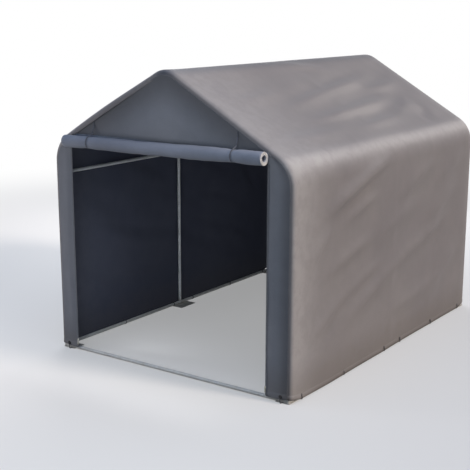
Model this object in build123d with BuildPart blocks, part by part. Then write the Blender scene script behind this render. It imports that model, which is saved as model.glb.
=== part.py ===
"""Gable-roofed bike shelter: a cloth cover on a plug-together frame of steel tube.

Millimetres. +Z is up, the open front faces -Y, and the origin is on the ground at the
middle of the footprint. Left and right are as seen from the front.
"""

import os
from math import acos, atan, atan2, cos, degrees, hypot, radians, sin, tan

from build123d import *

# Cover, measured over its outer face; the eave and the ridge are the sharp corners
# that the rounded ones are cut from
width = 1800.0
depth = 2500.0
eave_height = 1380.0
ridge_height = 1890.0
eave_radius = 200.0
ridge_radius = 80.0
cloth = 2.0
hem_height = 20.0
jamb_width = 150.0

# Tube of the frame
tube_diameter = 22.0
tube_wall = 1.0
spigot_length = 45.0
spigot_wall = 1.0
shoulder = 3.0
fit_clearance = 0.15
seat_gap = 0.3

# Ribs and purlins
purlin_drop = 80.0
joint_below_purlin = 70.0
elbow_arm = 60.0

# Feet
plate_thickness = 3.0
plate_reach = 85.0
plate_lip = 1.5
plate_corner = 5.0
hub_height = 40.0
anchor_hole = 10.0
anchor_inset = 50.0

# Rolled-up door and its ties
roll_above_eave = 30.0
roll_overhang = 10.0
roll_core_radius = 18.0
roll_pitch = 3.6
roll_half_turns = 14
door_tail = 45.0
door_lap = 30.0
tie_inset = 200.0
tie_width = 10.0
tie_thickness = 1.5
tie_inside_rise = 90.0

# Sizes that follow from those above
slope = atan((ridge_height - eave_height) / (width / 2))
tube_radius = tube_diameter / 2
bore_radius = tube_radius - tube_wall
spigot_radius = bore_radius - fit_clearance
spigot_bore = spigot_radius - spigot_wall
eave_turn = radians(90) - slope
wall_top = eave_height - eave_radius * tan(eave_turn / 2)

# The cover wraps round the end ribs, so its rolled edges turn about their axes
rib_inset = cloth + seat_gap + tube_radius
panel_inset = rib_inset + seat_gap
panel_front = -depth / 2
rib_y = depth / 2 - rib_inset
rib_places = {"front": -rib_y, "mid": 0.0, "rear": rib_y}
sides = {"left": -1, "right": 1}

purlin_height = wall_top - purlin_drop
joint_height = purlin_height - joint_below_purlin
rail_height = plate_thickness + seat_gap + tube_radius

opening_width = width - 2 * jamb_width
roll_height = eave_height + roll_above_eave
roll_length = opening_width + 2 * roll_overhang
tie_offset = opening_width / 2 - tie_inset
gable_bottom = roll_height + door_tail - door_lap


def inset_outline(inset):
    """Half width, eave and ridge of the cover's section, that far inside its outer face."""
    half_width = width / 2 - inset
    eave = eave_height + inset * (tan(slope) - 1 / cos(slope))
    ridge = ridge_height - inset / cos(slope)
    return half_width, eave, ridge


def house_section(inset, base):
    """Section through the shelter from base up to the ridge, that far inside the cover."""
    half_width, eave, ridge = inset_outline(inset)
    corner = eave_radius - inset
    with BuildSketch() as section:
        with BuildLine():
            roof = FilletPolyline(
                (-half_width, base),
                (-half_width, eave),
                (0, ridge),
                (half_width, eave),
                (half_width, base),
                radius=(corner, ridge_radius - inset, corner),
            )
            Line(roof @ 0, roof @ 1)
        make_face()
    return section.sketch


def upright(y):
    """Plane across the shelter at y, facing the front."""
    return Plane.XZ.offset(-y)


def save(part, name):
    part.label = name
    export_step(part, f"parts/{name}.step")


rib_half, rib_eave, rib_ridge = inset_outline(rib_inset)
rib_eave_radius = eave_radius - rib_inset
rib_ridge_radius = ridge_radius - rib_inset
elbow_reach = rib_ridge_radius * tan(slope) + elbow_arm
rafter_end = (elbow_reach * cos(slope), rib_ridge - elbow_reach * sin(slope))
ridge_axis_height = rib_ridge - rib_ridge_radius * (1 / cos(slope) - 1)


def make_leg(side, y):
    """Straight tube that stands on a foot; its swaged top plugs into the rafter."""
    place = (side * rib_half, y)
    tube_length = joint_height - plate_thickness - hub_height
    with BuildPart() as leg:
        with BuildSketch(Plane.XY.offset(joint_height - tube_length)):
            with Locations(place):
                Circle(tube_radius)
                Circle(bore_radius, mode=Mode.SUBTRACT)
        extrude(amount=tube_length)
        with BuildSketch(Plane.XY.offset(joint_height - shoulder)):
            with Locations(place):
                Circle(tube_radius)
                Circle(spigot_bore, mode=Mode.SUBTRACT)
        extrude(amount=shoulder)
        with BuildSketch(Plane.XY.offset(joint_height)):
            with Locations(place):
                Circle(spigot_radius)
                Circle(spigot_bore, mode=Mode.SUBTRACT)
        extrude(amount=spigot_length)
    return leg.part


def stub_directions(rib):
    """Which ways along Y a rib has purlins to carry."""
    return {"front": (1,), "mid": (1, -1), "rear": (-1,)}[rib]


def make_rafter(side, rib):
    """Bent tube from the top of a leg round the eave and up the slope, with welded stubs."""
    y = rib_places[rib]
    place = (side * rib_half, purlin_height)
    with BuildPart() as rafter:
        with BuildLine(upright(y)) as path:
            FilletPolyline(
                (side * rib_half, joint_height),
                (side * rib_half, rib_eave),
                (side * rafter_end[0], rafter_end[1]),
                radius=rib_eave_radius,
            )
        with BuildSketch(Plane(path.line @ 0, z_dir=path.line % 0)):
            Circle(tube_radius)
        sweep(path=path.line)
        for way in stub_directions(rib):
            with BuildSketch(upright(y)):
                with Locations(place):
                    Circle(spigot_radius)
                    Circle(spigot_bore, mode=Mode.SUBTRACT)
            extrude(amount=-way * (tube_radius + spigot_length))
        with BuildSketch(Plane(path.line @ 0, z_dir=path.line % 0)):
            Circle(bore_radius)
        sweep(path=path.line, mode=Mode.SUBTRACT)
    return rafter.part


def make_peak_elbow(rib):
    """Bent tube at the ridge; its swaged ends plug into the two rafters."""
    y = rib_places[rib]
    with BuildPart() as elbow:
        with BuildLine(upright(y)) as path:
            FilletPolyline(
                (-rafter_end[0], rafter_end[1]),
                (0, rib_ridge),
                rafter_end,
                radius=rib_ridge_radius,
            )
        start, end = path.line @ 0, path.line @ 1
        start_way, end_way = -(path.line % 0), path.line % 1
        with BuildSketch(Plane(start, z_dir=-start_way)):
            Circle(tube_radius)
        sweep(path=path.line)
        for way in stub_directions(rib):
            with BuildSketch(upright(y)):
                with Locations((0, ridge_axis_height)):
                    Circle(spigot_radius)
                    Circle(spigot_bore, mode=Mode.SUBTRACT)
            extrude(amount=-way * (tube_radius + spigot_length))
        with BuildSketch(Plane(start, z_dir=-start_way)):
            Circle(bore_radius)
        sweep(path=path.line, mode=Mode.SUBTRACT)
        for seat, way in ((start, start_way), (end, end_way)):
            with BuildSketch(Plane(seat, z_dir=way)):
                Circle(tube_radius)
                Circle(spigot_bore, mode=Mode.SUBTRACT)
            extrude(amount=-shoulder)
            with BuildSketch(Plane(seat, z_dir=way)):
                Circle(spigot_radius)
                Circle(spigot_bore, mode=Mode.SUBTRACT)
            extrude(amount=spigot_length)
    return elbow.part


def make_tube_along_y(x, z, y_from, y_to):
    """Plain tube between two ribs, stopping just short of both."""
    start = y_from + tube_radius + seat_gap
    end = y_to - tube_radius - seat_gap
    with BuildPart() as tube:
        with BuildSketch(upright(start)):
            with Locations((x, z)):
                Circle(tube_radius)
                Circle(bore_radius, mode=Mode.SUBTRACT)
        extrude(amount=start - end)
    return tube.part


def make_tube_along_x(y, z):
    """Plain tube between the two legs of a rib."""
    half_length = rib_half - tube_radius - seat_gap
    with BuildPart() as tube:
        with BuildSketch(Plane.YZ.offset(-half_length)):
            with Locations((y, z)):
                Circle(tube_radius)
                Circle(bore_radius, mode=Mode.SUBTRACT)
        extrude(amount=2 * half_length)
    return tube.part


def make_foot(side, rib):
    """Plate with an anchor hole, a hub and spigots for the leg and the base rails."""
    x, y = side * rib_half, rib_places[rib]
    inward = -side
    ways = stub_directions(rib)
    at_corner = len(ways) == 1
    plate_edge = tube_radius + plate_lip
    plate_width = plate_reach + plate_edge
    plate_length = plate_width if at_corner else 2 * plate_reach
    plate_x = x + inward * (plate_width / 2 - plate_edge)
    plate_y = y + ways[0] * (plate_width / 2 - plate_edge) if at_corner else y
    hole_shift = ways[0] * anchor_inset if at_corner else 0
    stub_reach = tube_radius + spigot_length
    with BuildPart() as foot:
        with BuildSketch():
            with Locations((plate_x, plate_y)):
                RectangleRounded(plate_width, plate_length, plate_corner)
            with Locations((x + inward * anchor_inset, y + hole_shift)):
                Circle(anchor_hole / 2, mode=Mode.SUBTRACT)
        extrude(amount=plate_thickness)
        hub_base = Plane((x, y, plate_thickness), x_dir=(inward, ways[0], 0))
        with BuildSketch(hub_base):
            Circle(tube_radius)
        extrude(amount=hub_height)
        with BuildSketch(hub_base.offset(hub_height)):
            Circle(spigot_radius)
        extrude(amount=spigot_length)
        with BuildSketch(upright(y)):
            with Locations((x, rail_height)):
                Circle(spigot_radius)
        extrude(amount=-ways[0] * stub_reach, both=not at_corner)
        if at_corner:
            with BuildSketch(Plane.YZ.offset(x)):
                with Locations((y, rail_height)):
                    Circle(spigot_radius)
            extrude(amount=inward * stub_reach)
    return foot.part


def make_cover():
    """The whole cover: a band with rolled edges, swept up one wall, over and down the other."""
    edge, inner_edge = rib_inset, rib_inset - cloth
    with BuildPart() as cover:
        with BuildLine(Plane.XZ) as path:
            FilletPolyline(
                (-rib_half, hem_height),
                (-rib_half, rib_eave),
                (0, rib_ridge),
                (rib_half, rib_eave),
                (rib_half, hem_height),
                radius=(rib_eave_radius, rib_ridge_radius, rib_eave_radius),
            )
        with BuildSketch(Plane((-rib_half, 0, hem_height))):
            with BuildLine():
                for radius in (edge, inner_edge):
                    CenterArc((0, rib_y), radius, 90, 90)
                    Line((-radius, rib_y), (-radius, -rib_y))
                    CenterArc((0, -rib_y), radius, 180, 90)
                for end in (rib_y, -rib_y):
                    way = 1 if end > 0 else -1
                    Line((0, end + way * edge), (0, end + way * inner_edge))
            make_face()
        sweep(path=path.line)
    return cover.part


def make_cover_panel(cover, side, above_eave):
    """Half of the cover's roof with its eave, or one of its walls."""
    with BuildPart() as panel:
        add(cover)
        split(bisect_by=Plane.XY.offset(wall_top), keep=Keep.TOP if above_eave else Keep.BOTTOM)
        split(bisect_by=Plane.YZ, keep=Keep.TOP if side > 0 else Keep.BOTTOM)
    return panel.part


def make_front_gable():
    """Triangle of cloth above the doorway."""
    with BuildPart() as gable:
        with BuildSketch(upright(panel_front)):
            add(house_section(panel_inset, hem_height))
            with Locations((0, gable_bottom)):
                Rectangle(
                    opening_width,
                    ridge_height,
                    align=(Align.CENTER, Align.MIN),
                    mode=Mode.INTERSECT,
                )
        extrude(amount=-cloth)
    return gable.part


def make_jamb(side):
    """Strip of cloth beside the doorway."""
    half = Align.MIN if side > 0 else Align.MAX
    with BuildPart() as jamb:
        with BuildSketch(upright(panel_front)):
            add(house_section(panel_inset, hem_height))
            with Locations((side * opening_width / 2, 0)):
                Rectangle(width, ridge_height, align=(half, Align.MIN), mode=Mode.INTERSECT)
        extrude(amount=-cloth)
    return jamb.part


def make_rear_wall():
    """Closed end of the shelter."""
    with BuildPart() as wall:
        with BuildSketch(upright(-panel_front)):
            add(house_section(panel_inset, hem_height))
        extrude(amount=cloth)
    return wall.part


# The roll is a band of cloth wound in half turns about two centres half a pitch apart;
# its last half turn ends at the back, and the tail rises from there to lap over the gable
roll_step = roll_pitch / 2
roll_radii = [roll_core_radius + turn * roll_step for turn in range(roll_half_turns)]
roll_back = roll_step / 2 + roll_radii[-1] + cloth / 2
roll_outer_radius = roll_radii[-1] + cloth / 2
roll_y = panel_front - seat_gap - roll_back


def roll_edge(shift):
    """Arcs of one face of the wound cloth, from the core outwards."""
    arcs = []
    for turn, radius in enumerate(roll_radii):
        under = turn % 2
        centre = roll_step / 2 if under else -roll_step / 2
        arcs.append(CenterArc((centre, 0), radius + shift, 180 * under, 180, mode=Mode.PRIVATE))
    return arcs


def make_door_roll():
    """The door, rolled up from its foot towards the outside."""
    inner, outer = roll_edge(-cloth / 2), roll_edge(cloth / 2)
    with BuildPart() as roll:
        with BuildSketch(Plane((-roll_length / 2, roll_y, roll_height), (0, 1, 0), (1, 0, 0))):
            with BuildLine():
                for arc in inner + outer:
                    add(arc)
                Line(inner[0] @ 0, outer[0] @ 0)
                tail_in = inner[-1] @ 1
                tail_out = outer[-1] @ 1
                Polyline(
                    tail_in,
                    (tail_in.X, door_tail),
                    (tail_out.X, door_tail),
                    tail_out,
                )
            make_face()
        extrude(amount=roll_length)
    return roll.part


def make_door_tie(side):
    """Strap from the rake seam down round the roll and up again inside the gable."""
    reach = roll_outer_radius + roll_step / 2 + seat_gap + tie_thickness / 2
    top = (panel_front - seat_gap - tie_thickness / 2, tie_top)
    offset_y, offset_z = top[0] - roll_y, top[1] - roll_height
    span = hypot(offset_y, offset_z)
    touch = atan2(offset_z, offset_y) + acos(reach / span)
    inside_y = panel_front + cloth + seat_gap + tie_thickness / 2
    back_reach = inside_y - roll_y
    back_height = roll_height - reach + back_reach
    with BuildPart() as tie:
        with BuildLine(Plane.YZ.offset(side * tie_offset)) as path:
            touch_point = (roll_y + reach * cos(touch), roll_height + reach * sin(touch))
            Line(top, touch_point)
            CenterArc((roll_y, roll_height), reach, degrees(touch), 270 - degrees(touch))
            CenterArc((roll_y, back_height), back_reach, 270, 90)
            Line((inside_y, back_height), (inside_y, roll_height + tie_inside_rise))
        with BuildSketch(Plane(path.line @ 0, x_dir=(1, 0, 0), z_dir=path.line % 0)):
            Rectangle(tie_width, tie_thickness)
        sweep(path=path.line)
    return tie.part


rake_drop = (tie_offset + tie_width / 2) * tan(slope)
tie_top = inset_outline(panel_inset)[2] - rake_drop - seat_gap

os.makedirs("parts", exist_ok=True)

for rib, y in rib_places.items():
    save(make_peak_elbow(rib), f"{rib}_peak_elbow")
    for side, sign in sides.items():
        save(make_leg(sign, y), f"{rib}_{side}_leg")
        save(make_rafter(sign, rib), f"{rib}_{side}_rafter")
        save(make_foot(sign, rib), f"{rib}_{side}_foot")

for bay, (y_from, y_to) in {"front": (-rib_y, 0.0), "rear": (0.0, rib_y)}.items():
    save(make_tube_along_y(0, ridge_axis_height, y_from, y_to), f"{bay}_ridge_purlin")
    for side, sign in sides.items():
        x = sign * rib_half
        save(make_tube_along_y(x, purlin_height, y_from, y_to), f"{bay}_{side}_eave_purlin")
        save(make_tube_along_y(x, rail_height, y_from, y_to), f"{bay}_{side}_base_rail")

save(make_tube_along_x(-rib_y, rail_height), "front_threshold")
save(make_tube_along_x(rib_y, rail_height), "rear_base_rail")

whole_cover = make_cover()
for side, sign in sides.items():
    save(make_cover_panel(whole_cover, sign, False), f"{side}_wall_panel")
    save(make_cover_panel(whole_cover, sign, True), f"{side}_roof_panel")
    save(make_jamb(sign), f"{side}_front_jamb")
    save(make_door_tie(sign), f"{side}_door_tie")

save(make_front_gable(), "front_gable_panel")
save(make_rear_wall(), "rear_wall_panel")
save(make_door_roll(), "door_roll")
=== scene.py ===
"""Looks of the bike shelter: cloth cover, gable, rolled door, ties, zips, hem fittings and frame finish."""

import math

import bmesh
import bpy
import numpy as np
from mathutils import Matrix, Vector, noise


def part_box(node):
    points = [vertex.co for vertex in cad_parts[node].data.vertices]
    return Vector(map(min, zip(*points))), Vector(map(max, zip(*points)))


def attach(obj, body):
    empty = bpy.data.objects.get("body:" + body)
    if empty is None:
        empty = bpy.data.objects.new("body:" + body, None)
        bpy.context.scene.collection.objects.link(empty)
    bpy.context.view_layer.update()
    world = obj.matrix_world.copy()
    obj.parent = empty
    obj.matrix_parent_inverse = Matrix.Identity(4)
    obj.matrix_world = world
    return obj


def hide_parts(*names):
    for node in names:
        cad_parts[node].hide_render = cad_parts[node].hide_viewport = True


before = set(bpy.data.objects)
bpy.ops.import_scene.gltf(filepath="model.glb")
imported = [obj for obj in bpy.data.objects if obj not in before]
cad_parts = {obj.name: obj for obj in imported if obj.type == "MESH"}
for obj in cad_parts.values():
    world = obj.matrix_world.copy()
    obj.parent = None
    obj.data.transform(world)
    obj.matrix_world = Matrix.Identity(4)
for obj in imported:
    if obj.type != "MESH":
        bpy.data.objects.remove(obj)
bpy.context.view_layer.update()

# The cover's outline and the frame's places, in metres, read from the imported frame.
WALL_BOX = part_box("right_wall_panel")
HALF_WIDTH = WALL_BOX[1].x
FRONT_Y, REAR_Y = WALL_BOX[0].y, WALL_BOX[1].y
WALL_TOP = WALL_BOX[1].z
RIDGE_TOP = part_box("right_roof_panel")[1].z
OPENING_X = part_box("right_front_jamb")[0].x
GABLE_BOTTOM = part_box("front_gable_panel")[0].z
ROLL_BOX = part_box("door_roll")
TIE_X = sum(c.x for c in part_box("right_door_tie")) / 2
TUBE_RADIUS = 0.011
FRONT_RIB_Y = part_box("front_right_leg")[0].y + TUBE_RADIUS
RIB_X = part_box("front_right_leg")[1].x - TUBE_RADIUS
PURLIN_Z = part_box("front_right_eave_purlin")[0].z + TUBE_RADIUS
RAIL_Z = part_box("front_right_base_rail")[0].z + TUBE_RADIUS
EAVE_RADIUS = 0.200
RIDGE_RADIUS = 0.150
HEM_Z = 0.006

# Cloth thickness, the lips rolled round the end ribs, and the hem.
CLOTH = 0.0009
LIP_RADIUS = 0.024
LIP_PROUD = 0.005
REAR_PROUD = 0.0015
LIP_FLAT = 0.012
LIP_INSET = LIP_RADIUS - LIP_PROUD
PANEL_GAP = 0.002
PANEL_INSET = LIP_INSET + PANEL_GAP
HEM_BAND = 0.030
HEM_STEP = 0.0010
HEM_RISE = 0.0012
HEM_ROUND = 0.003
HEM_LEAD = 0.004
HEM_WAVE = 0.002
CORNER_LIFT = 0.022
CORNER_REACH = 0.12

# Spread out of true: the left side with its height, the right one towards the front, the doorway to the left.
LEFT_LEAN = 0.011
EDGE_LEAN_SHARE = 0.55
RIGHT_SPREAD = 0.012
SPREAD_END = 0.9
SPREAD_RUN = 1.6
OPENING_SHIFT = -0.010

# Section lengths, from the ridge down to the hem.
A_RUN = HALF_WIDTH - EAVE_RADIUS
B_RISE = RIDGE_TOP - RIDGE_RADIUS - WALL_TOP
RADIUS_STEP = RIDGE_RADIUS - EAVE_RADIUS
SLOPE = math.atan2(B_RISE, A_RUN) + math.asin(RADIUS_STEP / math.hypot(A_RUN, B_RISE))
RIDGE_ARC = RIDGE_RADIUS * SLOPE
SLOPE_RUN = math.sqrt(A_RUN**2 + B_RISE**2 - RADIUS_STEP**2)
EAVE_ARC = EAVE_RADIUS * (math.pi / 2 - SLOPE)
WALL_RUN = WALL_TOP - HEM_Z
SLOPE_END = RIDGE_ARC + SLOPE_RUN
EAVE_END = SLOPE_END + EAVE_ARC
HALF_GIRTH = EAVE_END + WALL_RUN
CREST_TURN = math.radians(50)
EAVE_CREST = SLOPE_END + EAVE_RADIUS * (CREST_TURN - SLOPE)
OUTLINE_STEPS = 1200
TINY = 1e-6
SIDES = {1: "right", -1: "left"}
UP = np.array([0.0, 0.0, 1.0])


# Shape functions.


def smooth(x):
    """Soft step from 0 to 1."""
    x = np.clip(x, 0, 1)
    return x * x * (3 - 2 * x)


def bell(x, width):
    """Soft hump of height 1 about zero."""
    return np.exp(-((x / width) ** 2))


def hump(share):
    """Rounded swell up to 1 and back, over a share from 0 to 1."""
    return np.sin(math.pi * np.clip(share, 0, 1)) ** 2


def section(a):
    """Outer face at a signed length from the ridge: x, z and outward normal."""
    side, run = np.sign(a), np.abs(a)
    on_eave = np.clip(SLOPE + (run - SLOPE_END) / EAVE_RADIUS, SLOPE, math.pi / 2)
    turn = np.where(run < RIDGE_ARC, run / RIDGE_RADIUS, on_eave)
    nx, nz = np.sin(turn), np.cos(turn)
    on_slope = np.clip(run - RIDGE_ARC, 0, SLOPE_RUN)
    ridge_turn = np.minimum(turn, SLOPE)
    x = RIDGE_RADIUS * np.sin(ridge_turn) + on_slope * math.cos(SLOPE)
    z = RIDGE_TOP - RIDGE_RADIUS + RIDGE_RADIUS * np.cos(ridge_turn) - on_slope * math.sin(SLOPE)
    x = np.where(run > SLOPE_END, HALF_WIDTH - EAVE_RADIUS + EAVE_RADIUS * nx, x)
    z = np.where(run > SLOPE_END, WALL_TOP + EAVE_RADIUS * nz - np.maximum(run - EAVE_END, 0), z)
    return side * x, z, side * nx, nz


def inset_curve(inset):
    """Right half of the outline, inset from the outer face: x and z from the ridge down."""
    x, z, nx, nz = section(np.linspace(TINY, HALF_GIRTH, OUTLINE_STEPS))
    return x - inset * nx, z - inset * nz


def roof_height(x, inset):
    """Height of the inset outline at x."""
    cx, cz = inset_curve(inset)
    above = cz > WALL_TOP + TINY
    return np.interp(np.abs(x), cx[above], cz[above])


def wall_reach(z, inset):
    """Half width of the inset outline at z."""
    cx, cz = inset_curve(inset)
    return np.interp(-np.asarray(z), -cz, cx)


def at_rear(y):
    """Depth at the rear that mirrors one at the front."""
    return FRONT_Y + REAR_Y - y


def left_lean(z):
    """How far the left side has spread outwards at a height."""
    return LEFT_LEAN * smooth(np.asarray(z) / WALL_TOP)


def front_share(y):
    """Share of the sideways spread at a depth, all of it at the front."""
    return smooth((SPREAD_END - np.asarray(y)) / SPREAD_RUN)


def right_spread(y):
    """How far the right wall stands out at a depth."""
    return RIGHT_SPREAD * front_share(y)


def front_spread(a, z):
    """Sideways move of the cover's front at a section length and height."""
    return np.where(a < 0, -left_lean(z), RIGHT_SPREAD) * smooth(np.abs(a) / EAVE_END)


def opening_edge(side):
    """Distance of a doorway edge from the middle."""
    return OPENING_X + side * OPENING_SHIFT


def grain(points, size, seed):
    """Noise from -1 to 1 at each point, with lumps of that size."""
    shift = Vector((seed * 7.31, seed * 3.17, seed * 5.53))
    flat = np.asarray(points, float).reshape(-1, 3) / size
    values = [noise.noise(Vector(p) + shift) for p in flat]
    return np.array(values).reshape(np.asarray(points).shape[:-1])


def stacked(*parts):
    """Points, from arrays or single numbers of their coordinates."""
    return np.stack(np.broadcast_arrays(*parts), axis=-1)


def unit(vectors):
    """Vectors of length 1."""
    return vectors / np.linalg.norm(vectors, axis=-1, keepdims=True)


def ripples(points, layers, seed=0):
    """Sum of noise layers, each with a height, lump size, seed and squeeze along the axes."""
    return sum(h * grain(points * np.array(squeeze), size, own + seed) for h, size, own, squeeze in layers)


def lengths(path):
    """Length along a path up to each of its points."""
    return np.append(0, np.cumsum(np.linalg.norm(np.diff(path, axis=0), axis=1)))


def points_along(path, want):
    """Points of a path at lengths along it."""
    run = lengths(path)
    return stacked(*(np.interp(want, run, column) for column in path.T))


def full_turn(sides):
    """Evenly spaced angles round a circle."""
    return np.linspace(0, 2 * math.pi, sides, endpoint=False)


def curve_through(points, count):
    """Evenly spaced points on the smooth curve through the given ones."""
    p = np.asarray(points, float)
    ends = np.vstack([2 * p[0] - p[1], p, 2 * p[-1] - p[-2]])
    spans = []
    for i in range(len(p) - 1):
        t = np.linspace(0, 1, 24, endpoint=i == len(p) - 2)[:, None]
        p0, p1, p2, p3 = ends[i : i + 4]
        square, cube = 2 * p0 - 5 * p1 + 4 * p2 - p3, 3 * p1 - p0 - 3 * p2 + p3
        spans.append(0.5 * (2 * p1 + (p2 - p0) * t + square * t**2 + cube * t**3))
    fine = np.vstack(spans)
    return points_along(fine, np.linspace(0, lengths(fine)[-1], count))


# Materials.

COLOUR_A, COLOUR_B = 6, 7


class Shading:
    """The nodes of a material or world."""

    def __init__(self, owner):
        owner.use_nodes = True
        self.owner, self.nodes, self.links = owner, owner.node_tree.nodes, owner.node_tree.links

    def put(self, socket, value):
        """Join a socket to an output, or give it a constant."""
        if isinstance(value, bpy.types.NodeSocket):
            self.links.new(value, socket)
        else:
            socket.default_value = (*value, 1.0) if isinstance(value, tuple) else value

    def add(self, kind, *inputs, **named):
        """A node, with first inputs in order and other inputs and settings by name."""
        node = self.nodes.new("ShaderNode" + kind)
        for key, value in named.items():
            if key in node.inputs:
                self.put(node.inputs[key], value)
            else:
                setattr(node, key, value)
        for socket, value in zip(node.inputs, inputs):
            self.put(socket, value)
        return node

    def place(self):
        """Position on the piece, in metres."""
        return self.add("TexCoord").outputs["Object"]

    def flat(self):
        """The cloth's own flat coordinates X and Y, in metres."""
        return self.add("SeparateXYZ", self.add("UVMap", uv_map="cloth").outputs["UV"]).outputs

    def noise(self, vector, scale, detail=4.0, rough=0.55):
        node = self.add("TexNoise", Vector=vector, Scale=scale, Detail=detail, Roughness=rough)
        return node.outputs["Fac"]

    def ramp(self, value, low, high, to_low=0.0, to_high=1.0):
        """Soft step of a value between two limits."""
        node = self.add("MapRange", value, low, high, to_low, to_high, interpolation_type="SMOOTHSTEP")
        return node.outputs["Result"]

    def math(self, operation, *values):
        return self.add("Math", *values, operation=operation).outputs[0]

    def mix(self, factor, first, second, blend="MIX"):
        node = self.add("Mix", factor, data_type="RGBA", blend_type=blend)
        self.put(node.inputs[COLOUR_A], first)
        self.put(node.inputs[COLOUR_B], second)
        return node.outputs[2]

    def bump(self, height, strength, distance, under=None):
        """Normal of a fine relief, on top of another one if that is given."""
        node = self.add("Bump", Height=height, Strength=strength, Distance=distance)
        if under is not None:
            self.put(node.inputs["Normal"], under)
        return node.outputs[0]

    def ground_dirt(self, place, patches, uneven, clean, dirty, most):
        """Share of dirt: none above the height clean, most below dirty, with an uneven edge."""
        height = self.add("SeparateXYZ", place).outputs["Z"]
        edge = self.math("ADD", height, self.math("MULTIPLY", patches, -uneven))
        return self.ramp(edge, clean, dirty, 0.0, most)

    def seen(self):
        """1 for rays from the camera, also by gloss and through glass."""
        path = self.add("LightPath").outputs
        direct = self.math("MAXIMUM", path["Is Camera Ray"], path["Is Glossy Ray"])
        return self.math("MAXIMUM", direct, path["Is Transmission Ray"])

    def surface(self, **inputs):
        """Set inputs of the main shader, named with _ for a space, and return the material."""
        for key, value in inputs.items():
            self.put(self.nodes["Principled BSDF"].inputs[key.replace("_", " ")], value)
        return self.owner


def srgb(red, green, blue):
    """Linear colour of an 8-bit screen colour."""
    shares = (c / 255 for c in (red, green, blue))
    return tuple(s / 12.92 if s <= 0.04045 else ((s + 0.055) / 1.055) ** 2.4 for s in shares)


# Painted shade, dark and bluish, tints the cloth along the ridge, over a range of lengths down from it. The
# painted-shade colour darkens places where the wear-and-light value is negative; where it is positive the
# cloth is paler than the dye, from rubbing and from painted highlights.
RIDGE_PAINTED_SHADE = (0.50, 0.55, 0.63)
RIDGE_PAINTED_SHADE_REACH = (-0.01, 0.13)
PAINTED_SHADE_COLOUR = srgb(58, 54, 52)
RUB_AND_HIGHLIGHT_SHARE = 0.88
CLOTH_DIRT = srgb(96, 88, 78)
THREAD_PITCH = 0.0016
CRUMPLE_DEPTH = 0.004
CLOTH_GLOSS = {"Specular_IOR_Level": 0.05, "Sheen_Weight": 0.08, "Sheen_Roughness": 0.45}


def cloth(name, light, dark, rough, soil=0.35, shaded_ridge=False):
    """Coated woven cloth: plain weave, mottled dye, rubbing, painted highlights and shade, and dirt near the
    ground.
    """
    s = Shading(bpy.data.materials.new(name))
    place, flat = s.place(), s.flat()
    cloud = s.noise(place, 1.7, 3.0)
    mottle = s.noise(place, 14.0, 5.0, 0.62)
    speck = s.noise(place, 160.0, 2.0)
    colour = s.mix(s.ramp(cloud, 0.32, 0.68), dark, light)
    tone = s.ramp(mottle, 0.3, 0.7, 0.975, 1.025)
    tone = s.math("MULTIPLY", tone, s.ramp(speck, 0.35, 0.65, 0.985, 1.015))
    colour = s.mix(1.0, colour, s.add("CombineColor", tone, tone, tone).outputs[0], "MULTIPLY")
    wear_and_painted_light = s.add("Attribute", attribute_name="wear_and_painted_light").outputs["Fac"]
    # Paler where the value is positive: rubbing, and painted highlights along the front and the eaves.
    rubbed_and_highlight = s.math("MULTIPLY", wear_and_painted_light, s.ramp(mottle, 0.35, 0.62, 0.60, 0.85))
    pale = sum(light) / 3
    colour = s.mix(rubbed_and_highlight, colour, tuple(min(1.0, RUB_AND_HIGHLIGHT_SHARE * (c + pale)) for c in light))
    # Painted shade where the value is negative.
    colour = s.mix(s.math("MULTIPLY", wear_and_painted_light, -1.0), colour, PAINTED_SHADE_COLOUR)
    colour = s.mix(s.ground_dirt(place, mottle, 0.22, 0.16, -0.09, soil), colour, CLOTH_DIRT)
    # Painted shade along the ridge, dark and bluish.
    if shaded_ridge:
        ridge_shade = s.ramp(s.math("ABSOLUTE", flat["X"]), *RIDGE_PAINTED_SHADE_REACH, 1.0, 0.0)
        colour = s.mix(ridge_shade, colour, RIDGE_PAINTED_SHADE, "MULTIPLY")
    threads = [s.math("SINE", s.math("MULTIPLY", flat[way], 2 * math.pi / THREAD_PITCH)) for way in "XY"]
    weave = s.bump(s.math("MULTIPLY", *threads), 0.10, THREAD_PITCH / 8)
    crumple = s.bump(s.noise(place, 9.0, 2.0), 0.10, CRUMPLE_DEPTH, weave)
    dull = s.ramp(mottle, 0.3, 0.7, rough - 0.03, rough + 0.04)
    return s.surface(Base_Color=colour, Roughness=dull, Normal=crumple, **CLOTH_GLOSS)


def painted_steel(name, clean, dusty):
    """Powder coat with orange peel, handling dust and ground dirt."""
    s = Shading(bpy.data.materials.new(name))
    place = s.place()
    dust = s.noise(place, 9.0, 6.0, 0.65)
    scuff = s.noise(place, 55.0, 8.0, 0.7)
    colour = s.mix(s.ramp(dust, 0.35, 0.7), clean, dusty)
    colour = s.mix(s.ramp(scuff, 0.66, 0.74, 0.0, 0.55), colour, srgb(150, 148, 144))
    colour = s.mix(s.ground_dirt(place, scuff, 0.10, 0.05, -0.06, 0.5), colour, srgb(140, 132, 120))
    peel = s.bump(s.noise(place, 420.0, 2.0), 0.12, 0.0006)
    return s.surface(Base_Color=colour, Roughness=s.ramp(dust, 0.3, 0.7, 0.30, 0.46), Normal=peel)


def bare_metal(name, bright, dull, rough):
    """Plated steel: spangle and dulled, slightly uneven patches."""
    s = Shading(bpy.data.materials.new(name))
    place = s.place()
    spangle = s.add("TexVoronoi", Vector=place, Scale=140.0).outputs["Color"]
    patch = s.noise(place, 24.0, 6.0, 0.65)
    colour = s.mix(s.ramp(patch, 0.38, 0.66), bright, dull)
    colour = s.mix(0.10, colour, spangle, "OVERLAY")
    worn = s.ramp(patch, 0.3, 0.7, rough - 0.08, rough + 0.12)
    return s.surface(Base_Color=colour, Metallic=0.9, Roughness=worn, Normal=s.bump(patch, 0.1, 0.0004))


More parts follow.
